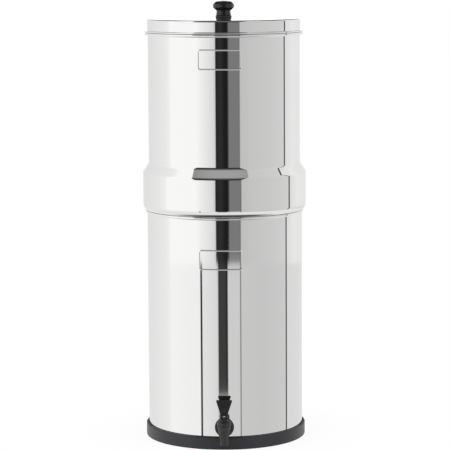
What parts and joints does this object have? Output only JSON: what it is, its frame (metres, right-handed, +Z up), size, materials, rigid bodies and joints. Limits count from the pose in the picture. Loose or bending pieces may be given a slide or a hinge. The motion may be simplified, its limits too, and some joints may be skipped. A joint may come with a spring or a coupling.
{
  "type": "gravity water filter",
  "caption": "Tall stainless gravity water filter: stacked chambers, filter candles, knobbed lid, rubber base ring and a lever tap that closes by itself.",
  "frame": {"origin": "centre of the base ring's underside, on the floor", "axes": "+Z up along the chambers' axis, tap towards -Y, +X to the right as the tap is faced"},
  "size_m": [0.2843, 0.3164, 0.7625],
  "materials": {
    "polished_steel": "mirror-polished stainless sheet",
    "plain_steel": "plain stainless fasteners, stem and pin",
    "knob_plastic": "glossy black moulding",
    "tap_plastic": "satin black moulding",
    "base_rubber": "satin black moulded rubber",
    "seal_rubber": "black rubber washers and plugs",
    "cup_silicone": "translucent silicone",
    "white_plastic": "white moulded plastic",
    "candle_ceramic": "fired porous filter body"
  },
  "bodies": {
    "base": {"base_ring": "base_rubber", "lower_chamber": "polished_steel", "tap_outer_washer": "seal_rubber", "tap_inner_washer": "seal_rubber", "tap_lock_nut": "tap_plastic", "tap_body": "tap_plastic", "tap_bonnet": "tap_plastic"},
    "upper": {"upper_chamber": "polished_steel", "candle_seal_1": "seal_rubber", "candle_base_1": "white_plastic", "filter_candle_1": "candle_ceramic", "wing_nut_1": "white_plastic", "blanking_plug_1": "seal_rubber", "candle_seal_2": "seal_rubber", "candle_base_2": "white_plastic", "filter_candle_2": "candle_ceramic", "wing_nut_2": "white_plastic", "blanking_plug_2": "seal_rubber", "candle_seal_3": "seal_rubber", "candle_base_3": "white_plastic", "filter_candle_3": "candle_ceramic", "wing_nut_3": "white_plastic", "blanking_plug_3": "seal_rubber", "candle_seal_4": "seal_rubber", "candle_base_4": "white_plastic", "filter_candle_4": "candle_ceramic", "wing_nut_4": "white_plastic", "blanking_plug_4": "seal_rubber"},
    "lid": {"lid": "polished_steel", "knob_washer": "seal_rubber", "lid_knob": "knob_plastic", "knob_screw": "plain_steel", "knob_screw_washer": "plain_steel"},
    "plunger": {"tap_stem": "plain_steel", "seat_cup": "cup_silicone", "lever_pin": "plain_steel"},
    "lever": {"tap_lever": "tap_plastic"}
  },
  "joints": [
    {"name": "upper_lift", "type": "slide", "parent": "base", "child": "upper", "axis": [0, 0, 1], "range_m": [0, 0.1]},
    {"name": "lid_lift", "type": "slide", "parent": "upper", "child": "lid", "axis": [0, 0, 1], "range_m": [0, 0.12]},
    {"name": "stem_lift", "type": "slide", "parent": "base", "child": "plunger", "axis": [0, 0, 1], "range_m": [0, 0.0035], "stiffness_N_per_m": 200, "springref_m": -0.005},
    {"name": "lever_pull", "type": "hinge", "parent": "plunger", "child": "lever", "pos_m": [0, -0.1623, 0.064], "axis": [1, 0, 0], "range_deg": [0, 60]}
  ],
  "couplings": [
    {"joint": "lever_pull", "follows": "stem_lift", "rad_per_m": 299.19}
  ]
}
